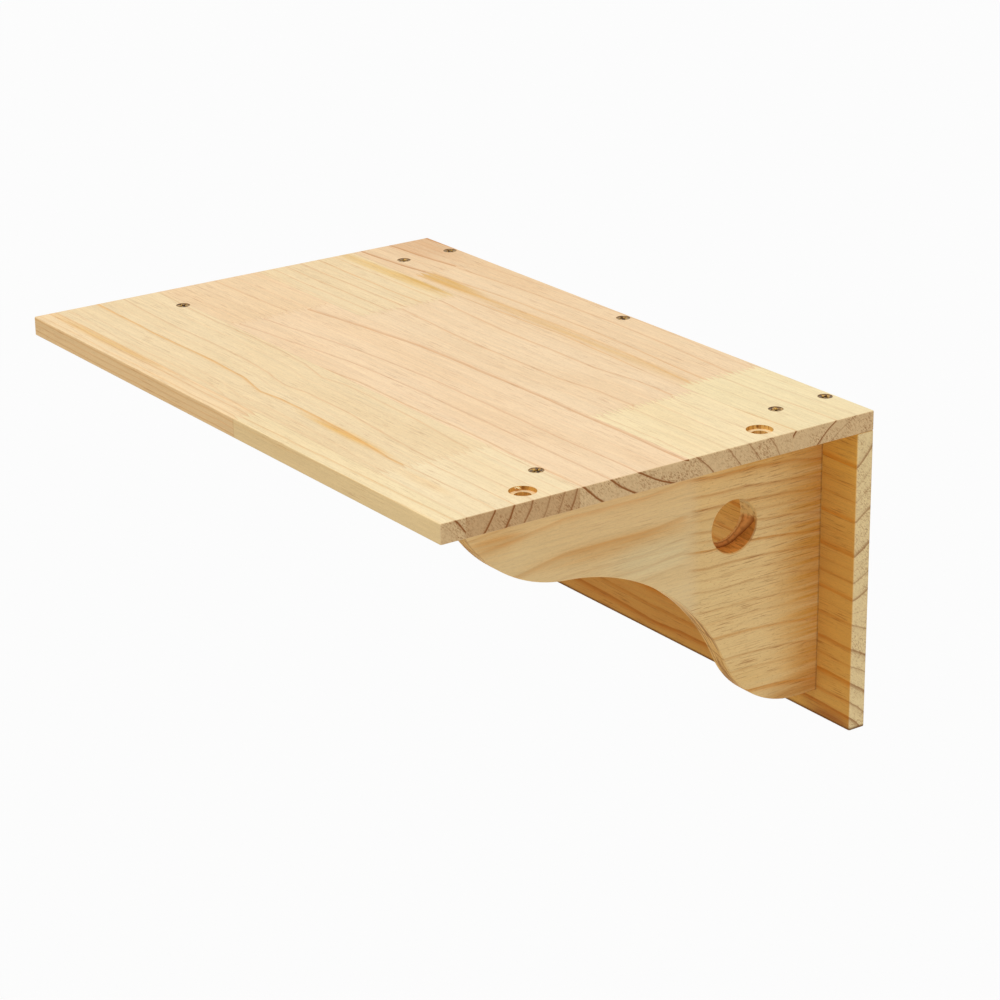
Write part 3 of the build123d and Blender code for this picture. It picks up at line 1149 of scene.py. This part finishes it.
class ShelfTimberSettings(bpy.types.PropertyGroup):
    """Colours and levels of the pine."""

    deep_tone: bpy.props.FloatVectorProperty(
        name="Deep tone", description="What the ground is multiplied by where it drifts",
        default=(0.95, 0.9, 0.84), subtype="COLOR",
    )
    tone_change: bpy.props.FloatProperty(
        name="Tone change", description="How far the ground drifts", default=0.5, min=0, max=1,
        subtype="FACTOR",
    )
    line_strength: bpy.props.FloatProperty(
        name="Line strength", description="How strongly latewood shows on the faces", default=0.85, min=0,
        max=2,
    )
    halo_strength: bpy.props.FloatProperty(
        name="Halo strength", description="How strongly the soft side of a line shows", default=0.3, min=0,
        max=1,
    )
    dash_colour: bpy.props.FloatVectorProperty(
        name="Dash colour", description="Resin canals cut lengthwise", default=srgb(162, 92, 38),
        subtype="COLOR",
    )
    end_line: bpy.props.FloatVectorProperty(
        name="End line", description="Latewood on end grain", default=srgb(158, 98, 50), subtype="COLOR",
    )
    seam_strength: bpy.props.FloatProperty(
        name="Seam strength", description="How strongly the glue shows", default=0.4, min=0, max=1,
    )
    torn_colour: bpy.props.FloatVectorProperty(
        name="Torn colour", description="Torn strokes on drilled walls", default=srgb(170, 112, 44),
        subtype="COLOR",
    )
    mark_colour: bpy.props.FloatVectorProperty(
        name="Mark colour", description="Burnt and torn marks on drilled walls", default=srgb(138, 82, 28),
        subtype="COLOR",
    )
    # Also painted shade: the joints' darkness is partly shade, and the back board's lower edge line is shade
    # only.
    gap_and_shade_colour: bpy.props.FloatVectorProperty(
        name="Contact colour", description="The fine dark gap where two pieces meet",
        default=srgb(112, 66, 22), subtype="COLOR",
    )
    streak_change: bpy.props.FloatProperty(
        name="Streak change", description="Contrast of the fine fibre streaks", default=0.072, min=0, max=1,
    )


class ShelfScrewSettings(bpy.types.PropertyGroup):
    """Sizes and colours of the screws that their CAD nodes don't give."""

    thread_diameter: bpy.props.FloatProperty(
        name="Thread diameter", description="Across the thread's crests", default=3.5 * MM, unit="LENGTH",
    )
    core_diameter: bpy.props.FloatProperty(
        name="Core diameter", description="Across the thread's root", default=2.4 * MM, unit="LENGTH",
    )
    shank_diameter: bpy.props.FloatProperty(
        name="Shank diameter", description="Across the plain shank", default=2.9 * MM, unit="LENGTH",
    )
    shank_length: bpy.props.FloatProperty(
        name="Shank length", description="From the head's top to the thread", default=11 * MM, unit="LENGTH",
    )
    thread_pitch: bpy.props.FloatProperty(
        name="Thread pitch", description="Advance of one turn", default=1.4 * MM, unit="LENGTH",
    )
    recess_span: bpy.props.FloatProperty(
        name="Recess span", description="Across the cross recess", default=4.8 * MM, unit="LENGTH",
    )
    recess_width: bpy.props.FloatProperty(
        name="Recess width", description="Across one wing of the recess", default=1.3 * MM, unit="LENGTH",
    )
    recess_depth: bpy.props.FloatProperty(
        name="Recess depth", description="Depth at the recess's middle", default=1.8 * MM, unit="LENGTH",
    )
    sunk_depth: bpy.props.FloatProperty(
        name="Sunk depth", description="How far the head sits below the wood", default=0.15 * MM,
        unit="LENGTH",
    )
    zinc_colour: bpy.props.FloatVectorProperty(
        name="Zinc colour", description="Yellow zinc plating", default=srgb(188, 148, 80), subtype="COLOR",
    )
    zinc_shadow: bpy.props.FloatVectorProperty(
        name="Zinc drift", description="Where the plating is darker", default=srgb(90, 60, 22),
        subtype="COLOR",
    )
    # Painted shade in the cross recess, where little light reaches.
    recess_shade_colour: bpy.props.FloatVectorProperty(
        name="Recess colour", description="Grime in the cross recess", default=srgb(46, 34, 18),
        subtype="COLOR",
    )


class ShelfTornSettings(bpy.types.PropertyGroup):
    """The torn wood in the right bracket's hole and at the front fitting hole."""

    ledge_shift_along: bpy.props.FloatProperty(
        name="Ledge shift along",
        description="Along the shelf's depth, from the hole's middle to the far side's",
        default=-1.8 * MM, unit="LENGTH",
    )
    ledge_shift_up: bpy.props.FloatProperty(
        name="Ledge shift up", description="Upwards, from the hole's middle to the far side's",
        default=3.3 * MM, unit="LENGTH",
    )
    ledge_colour: bpy.props.FloatVectorProperty(
        name="Ledge colour", description="The ledge in the bracket's hole", default=srgb(236, 166, 92),
        subtype="COLOR",
    )
    # Painted shade in the crease where the ledge meets the wall; it also colours the ledge's fibre strokes.
    ledge_shadow: bpy.props.FloatVectorProperty(
        name="Ledge shadow", description="Where the ledge meets the wall", default=srgb(146, 78, 22),
        subtype="COLOR",
    )
    # Painted highlight on the ledge's rim, and the pale of its freshly torn upper end.
    fresh_and_highlight_colour: bpy.props.FloatVectorProperty(
        name="Fresh colour", description="The ledge's rim and its torn upper end",
        default=srgb(240, 200, 128), subtype="COLOR",
    )
    splinter_colour: bpy.props.FloatVectorProperty(
        name="Splinter colour", description="Fibres torn up at the fitting hole", default=srgb(250, 226, 170),
        subtype="COLOR",
    )
    splinter_shadow: bpy.props.FloatVectorProperty(
        name="Splinter shadow", description="Darker streaks of the splinters", default=srgb(190, 134, 66),
        subtype="COLOR",
    )


# Operators


class SHELF_OT_stage(bpy.types.Operator):
    """Set up the floor, the light and the camera"""

    bl_idname = "shelf.stage"
    bl_label = "Set the stage"

    def execute(self, context):
        self.add_floor(context.scene.shelf_stage)
        self.add_light(context.scene, context.scene.shelf_stage)
        self.add_camera(context.scene, context.scene.shelf_view)
        context.scene.view_settings.view_transform = "Standard"
        return {"FINISHED"}

    def add_floor(self, settings):
        """A square plain floor, seen from above only."""
        half = settings.floor_width / 2
        level = CAD_BOX[0][Z] - settings.floor_drop
        corners = [(-half, -half, level), (half, -half, level), (half, half, level), (-half, half, level)]
        mesh = bpy.data.meshes.new("floor")
        mesh.from_pydata(corners, [], [(0, 1, 2, 3)])
        floor = put_in_scene("floor", mesh)
        graph = Graph(bpy.data.materials.new("plain_floor"))
        dull = graph.add("ShaderNodeBsdfDiffuse", {"Color": tuple(settings.floor_bounce)}).outputs[0]
        white = graph.add("ShaderNodeBsdfDiffuse", {"Color": tuple(settings.floor_colour)}).outputs[0]
        glow = graph.add("ShaderNodeEmission", {"Strength": settings.floor_glow}).outputs[0]
        white = graph.add("ShaderNodeAddShader", {0: white, 1: glow}).outputs[0]
        shown = graph.add("ShaderNodeMixShader", {0: graph.in_view(), 1: dull, 2: white}).outputs[0]
        clear = graph.add("ShaderNodeBsdfTransparent").outputs[0]
        below = graph.add("ShaderNodeNewGeometry").outputs["Backfacing"]
        shader = graph.add("ShaderNodeMixShader", {0: below, 1: shown, 2: clear}).outputs[0]
        graph.add("ShaderNodeOutputMaterial", {0: shader})
        mesh.materials.append(graph.owner)

    def add_light(self, scene, settings):
        """Even light from all around, as pale as the floor where it is seen, and one wide soft lamp."""
        scene.world = bpy.data.worlds.new("studio")
        graph = Graph(scene.world)
        level = graph.remap(graph.in_view(), 0.0, 1.0, settings.sky_strength, settings.sky_seen)
        background = graph.add("ShaderNodeBackground", {"Color": (1, 1, 1), "Strength": level}).outputs[0]
        graph.add("ShaderNodeOutputWorld", {0: background})

        light = bpy.data.lights.new("soft_lamp", "SUN")
        light.energy = settings.sun_strength
        light.angle = settings.sun_softness
        lamp = put_in_scene("soft_lamp", light)
        lamp.rotation_euler = (math.radians(90) - settings.sun_elevation, 0, settings.sun_azimuth)

    def add_camera(self, scene, settings):
        """A camera from the place and the angles of the settings."""
        camera = put_in_scene("camera", bpy.data.cameras.new("camera"))
        camera.data.lens = settings.focal_length
        camera.data.clip_end = 200
        turn = Matrix.Rotation(settings.azimuth, 4, "Z")
        tilt = Matrix.Rotation(math.radians(90) - settings.elevation, 4, "X")
        roll = Matrix.Rotation(settings.roll, 4, "Z")
        camera.matrix_world = Matrix.Translation(settings.place) @ turn @ tilt @ roll
        scene.camera = camera


class SHELF_OT_top_board(bpy.types.Operator):
    """Finish the top board in glued pine"""

    bl_idname = "shelf.top_board"
    bl_label = "Finish the top board"

    def execute(self, context):
        low, high = box_mm("top_board")
        board = Board(
            along_axis=X, across_axis=Y, depth_axis=Z, face=high[Z], depth_range=(low[Z], high[Z]),
            # Painted shade: the tint of the long edges darkens the front and back faces.
            staves=TOP_STAVES, side_shade_tint=(0.92, 0.84, 0.71), line_tints=TOP_LINES,
            seam_tint=srgb(214, 168, 118), dash_strength=0.28, finger_length=7.2,
            bores=(*FITTING_BORES, screw_bores(Z)),
        )
        dress("top_board", pine("pine_top", board, context.scene.shelf_timber))
        return {"FINISHED"}


class SHELF_OT_back_board(bpy.types.Operator):
    """Finish the back board in glued pine"""

    bl_idname = "shelf.back_board"
    bl_label = "Finish the back board"

    def execute(self, context):
        low, high = box_mm("back_board")
        board = Board(
            along_axis=X, across_axis=Z, depth_axis=Y, face=low[Y], depth_range=(low[Y], high[Y]),
            staves=BACK_STAVES, side_shade_tint=(1, 1, 1), line_tints=BACK_LINES, seam_tint=srgb(170, 110, 50),
            dash_strength=0.6, end_strength=0.7, end_start=0.85, end_spread=0.2,
            # Painted shade: a dark line along the lower edge of the front face.
            bores=(screw_bores(Y), WALL_BORES), gaps_and_shade=((Z, low[Z], 1.9, 0.85),),
        )
        dress("back_board", pine("pine_back", board, context.scene.shelf_timber))
        return {"FINISHED"}


class SHELF_OT_brackets(bpy.types.Operator):
    """Finish both brackets in pine, their fibres level"""

    bl_idname = "shelf.brackets"
    bl_label = "Finish the brackets"

    def execute(self, context):
        for node in BRACKET_NODES:
            low, high = box_mm(node)
            on_right = high[X] > 0
            outer = high[X] if on_right else low[X]
            inward = -1 if on_right else 1
            board = Board(
                along_axis=Y, across_axis=Z, depth_axis=X, face=outer, depth_range=(low[X], high[X]),
                staves=tuple(self.pith_from(outer, inward, stave) for stave in BRACKET_STAVES),
                # Painted shade: the tint of the long edges darkens the faces that look up and down.
                side_shade_tint=(0.95, 0.9, 0.8), line_tints=BRACKET_LINES, seam_tint=srgb(255, 236, 190),
                dash_strength=0.56, joint_fade=7.0, end_strength=0.5, sawn_strength=0.8,
                bores=RIGHT_BRACKET_BORES if on_right else LEFT_BRACKET_BORES,
                # A dark joint line against the back board, partly painted shade of the corner.
                gaps_and_shade=((Y, high[Y], 1.1, 0.38),),
            )
            dress(node, pine(f"pine_{node}", board, context.scene.shelf_timber))
        return {"FINISHED"}

    def pith_from(self, outer, inward, stave):
        """The stave with the depth of each pith counted inwards from the bracket's outer face."""
        blocks = tuple(
            block._replace(pith=(block.pith[0], outer + inward * block.pith[1])) for block in stave.blocks
        )
        return stave._replace(blocks=blocks)


class SHELF_OT_screws(bpy.types.Operator):
    """Make the screws with a true thread and a cross recess"""

    bl_idname = "shelf.screws"
    bl_label = "Make the screws"

    def execute(self, context):
        look = context.scene.shelf_screws
        material = zinc(look)
        draw = np.random.default_rng(11)
        for node in SCREW_NODES:
            low, high = box_mm(node)
            head_radius = (high[X] - low[X]) / 2
            points, hollow = screw_points(look, head_radius, max(high - low))
            mesh = tube_mesh(f"{node}_turned", points)
            carry(mesh, "hollow", hollow)
            mesh.transform(screw_pose(node, draw.uniform(0, math.pi / 2)))
            mesh.shade_smooth()
            mesh.materials.append(material)
            screw = put_in_scene(f"{node}_turned", mesh)
            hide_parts(node)
            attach(screw, "root")
        return {"FINISHED"}


class SHELF_OT_ledge(bpy.types.Operator):
    """Leave the ledge of a two-sided drilling in the right bracket's hole"""

    bl_idname = "shelf.ledge"
    bl_label = "Add the ledge in the bracket's hole"

    def execute(self, context):
        look = context.scene.shelf_torn
        low, _ = box_mm("right_bracket")
        points, wall, fresh_and_highlight = ledge_points(RIGHT_BRACKET_BORES[0], low[X], look)
        mesh = tube_mesh("right_bracket_ledge", points)
        material = torn_pine("pine_ledge", look.ledge_colour, look.ledge_shadow, look.fresh_and_highlight_colour)
        add_torn_piece("right_bracket_ledge", mesh, wall, fresh_and_highlight, material)
        return {"FINISHED"}


class SHELF_OT_splinters(bpy.types.Operator):
    """Raise a few torn fibres at the rim of the front fitting hole"""

    bl_idname = "shelf.splinters"
    bl_label = "Add the splinters at the fitting hole"

    def execute(self, context):
        rim_gap = 0.4
        root_depth = 0.38
        slivers = (172, 3.6, 1.0, -0.1), (164, 2.6, 0.8, -0.35), (179, 1.8, 0.6, -0.5)

        look = context.scene.shelf_torn
        _, high = box_mm("top_board")
        bore = FITTING_BORES[0]
        colours = look.splinter_colour, look.splinter_shadow, look.splinter_colour
        material = torn_pine("pine_splinters", *colours)
        grids = []
        for degrees, length, width, lift in slivers:
            turn = math.radians(degrees)
            spoke = np.array([math.cos(turn), math.sin(turn)])
            root = (*(np.array(bore.places[1]) + (bore.radius + rim_gap) * spoke), high[Z] - root_depth)
            grids.append(sliver_points(root, (1.0, 0.0), length, width, lift) * MM)
        joined = tube_mesh("fitting_hole_splinters", *grids)
        level = np.zeros(len(joined.vertices))
        add_torn_piece("fitting_hole_splinters", joined, level, level, material)
        return {"FINISHED"}


# Panel


class SHELF_PT_panel(bpy.types.Panel):
    """Settings and steps of the pine shelf"""

    bl_idname = "SHELF_PT_panel"
    bl_label = "Pine Shelf"
    bl_space_type = "VIEW_3D"
    bl_region_type = "UI"
    bl_category = "Pine Shelf"

    def draw(self, context):
        for name, group in SETTINGS.items():
            box = self.layout.box()
            for prop in group.__annotations__:
                box.prop(getattr(context.scene, name), prop)
        for operator in OPERATORS:
            self.layout.operator(operator.bl_idname)


SETTINGS = {
    "shelf_view": ShelfViewSettings,
    "shelf_stage": ShelfStageSettings,
    "shelf_timber": ShelfTimberSettings,
    "shelf_screws": ShelfScrewSettings,
    "shelf_torn": ShelfTornSettings,
}
OPERATORS = (
    SHELF_OT_stage, SHELF_OT_top_board, SHELF_OT_back_board, SHELF_OT_brackets, SHELF_OT_screws,
    SHELF_OT_ledge, SHELF_OT_splinters,
)


def register():
    """Register the settings, the operators and the panel."""
    for name, group in SETTINGS.items():
        bpy.utils.register_class(group)
        setattr(bpy.types.Scene, name, bpy.props.PointerProperty(type=group))
    for operator in OPERATORS:
        bpy.utils.register_class(operator)
    bpy.utils.register_class(SHELF_PT_panel)


def unregister():
    """Take everything out again."""
    bpy.utils.unregister_class(SHELF_PT_panel)
    for operator in reversed(OPERATORS):
        bpy.utils.unregister_class(operator)
    for name, group in SETTINGS.items():
        delattr(bpy.types.Scene, name)
        bpy.utils.unregister_class(group)


def main():
    """Finish the shelf step by step."""
    register()
    bpy.ops.shelf.stage()
    bpy.ops.shelf.top_board()
    bpy.ops.shelf.back_board()
    bpy.ops.shelf.brackets()
    bpy.ops.shelf.screws()
    bpy.ops.shelf.ledge()
    bpy.ops.shelf.splinters()
    bpy.context.view_layer.update()


if __name__ == "__main__":
    main()
